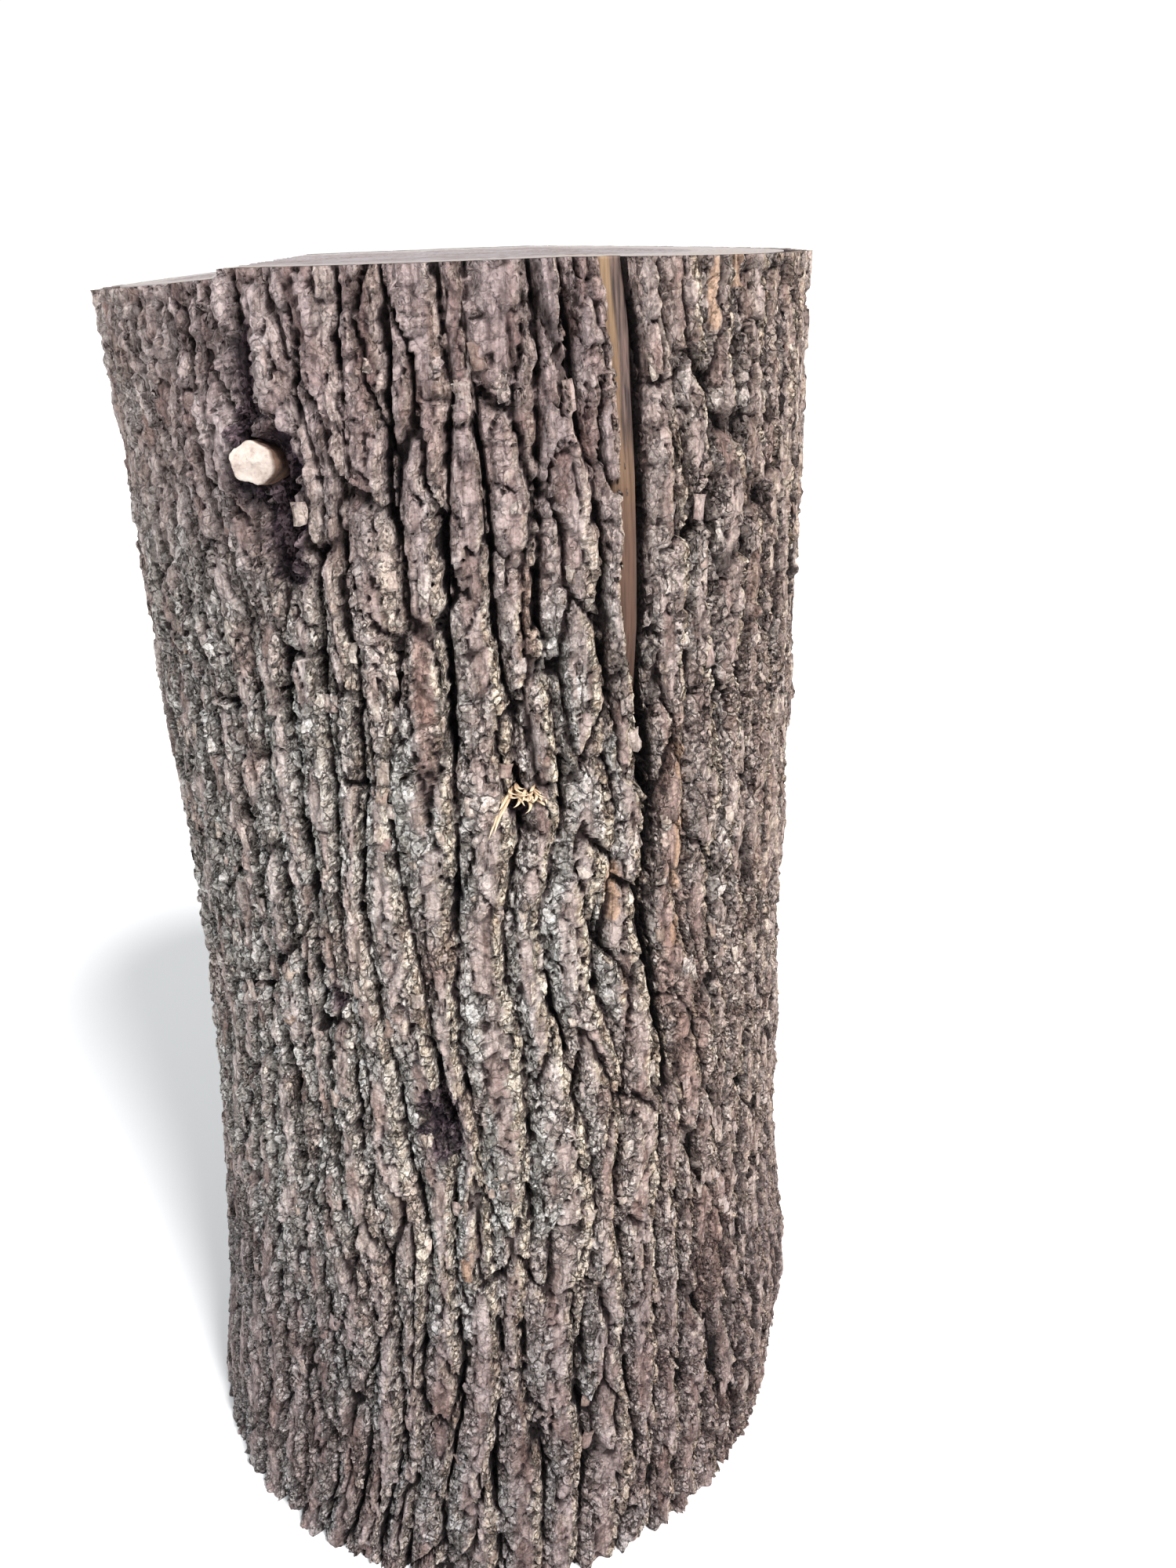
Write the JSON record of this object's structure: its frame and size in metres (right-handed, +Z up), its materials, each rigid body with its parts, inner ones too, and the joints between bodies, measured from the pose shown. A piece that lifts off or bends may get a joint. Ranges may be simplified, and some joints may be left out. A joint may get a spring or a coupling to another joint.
{
  "type": "walnut log",
  "caption": "Upright sawn walnut log with deeply ridged bark, a long bark split with bared wood, a pruned twig stub and knot holes.",
  "frame": {"origin": "middle of the sawn foot, on the surface that the log stands on", "axes": "+Z up along the log; the side with the twig stub and the split faces -Y, with the stub to -X of the split"},
  "size_m": [0.5101, 0.5097, 0.914],
  "materials": {
    "walnut": "dry, rough, deeply furrowed taupe-grey bark over sawn wood"
  },
  "bodies": {
    "root": {"walnut_log": "walnut"}
  },
  "joints": []
}
